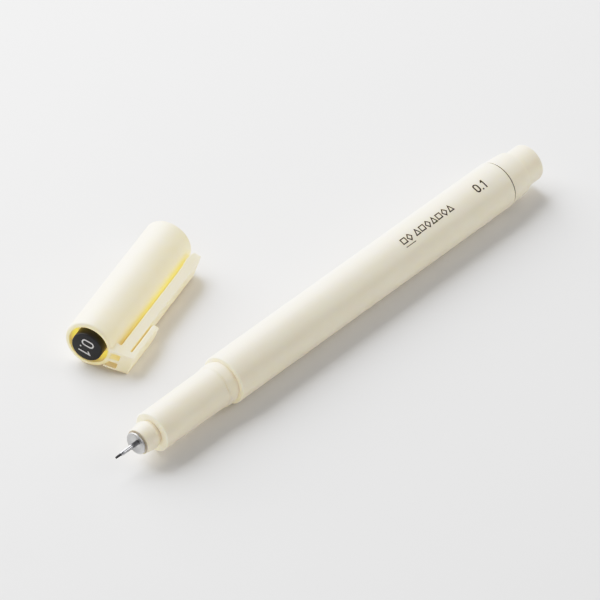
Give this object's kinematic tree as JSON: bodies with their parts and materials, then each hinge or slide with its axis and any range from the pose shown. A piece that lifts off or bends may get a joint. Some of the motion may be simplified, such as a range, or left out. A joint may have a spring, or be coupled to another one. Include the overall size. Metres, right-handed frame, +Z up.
{
  "type": "felt tip marker",
  "caption": "Slim fine-line felt tip marker with a steel needle tip, its clip cap lying beside it.",
  "frame": {"origin": "on the surface that the pen and cap lie on, under the middle of the whole box", "axes": "+X along the pen from its nib to its tail, +Z up, the cap lying on the +Y side"},
  "size_m": [0.1304, 0.05, 0.011],
  "materials": {
    "cream_plastic": "satin moulded polypropylene",
    "white_plastic": "satin",
    "black_plastic": "satin",
    "nib_black": "ink-stained",
    "steel": "polished",
    "ink_fibre": "bonded fibre soaked with black ink",
    "clear_film": "thin film"
  },
  "bodies": {
    "pen": {"barrel": "cream_plastic", "nib": "nib_black", "needle_tube": "steel", "tip_holder": "steel", "nose_piece": "cream_plastic", "front_section": "cream_plastic", "tail_plug": "cream_plastic", "feed_wick": "ink_fibre", "ink_reservoir": "ink_fibre", "reservoir_film": "clear_film"},
    "cap": {"cap_shell": "cream_plastic", "inner_cap": "white_plastic", "end_plug": "black_plastic", "clip_root": "cream_plastic"},
    "clip": {"clip_arm": "cream_plastic"}
  },
  "joints": [
    {"name": "cap_slide", "type": "slide", "parent": "pen", "child": "cap", "axis": [-0.9591, -0.2832, 0], "range_m": [0, 0.0324]},
    {"name": "clip_flex", "type": "hinge", "parent": "cap", "child": "clip", "pos_m": [-0.0359, 0.00397, 0.00321], "axis": [-0.0885, 0.2997, -0.9499], "range_deg": [0, 2.3], "stiffness_Nm_per_rad": 0.2}
  ]
}
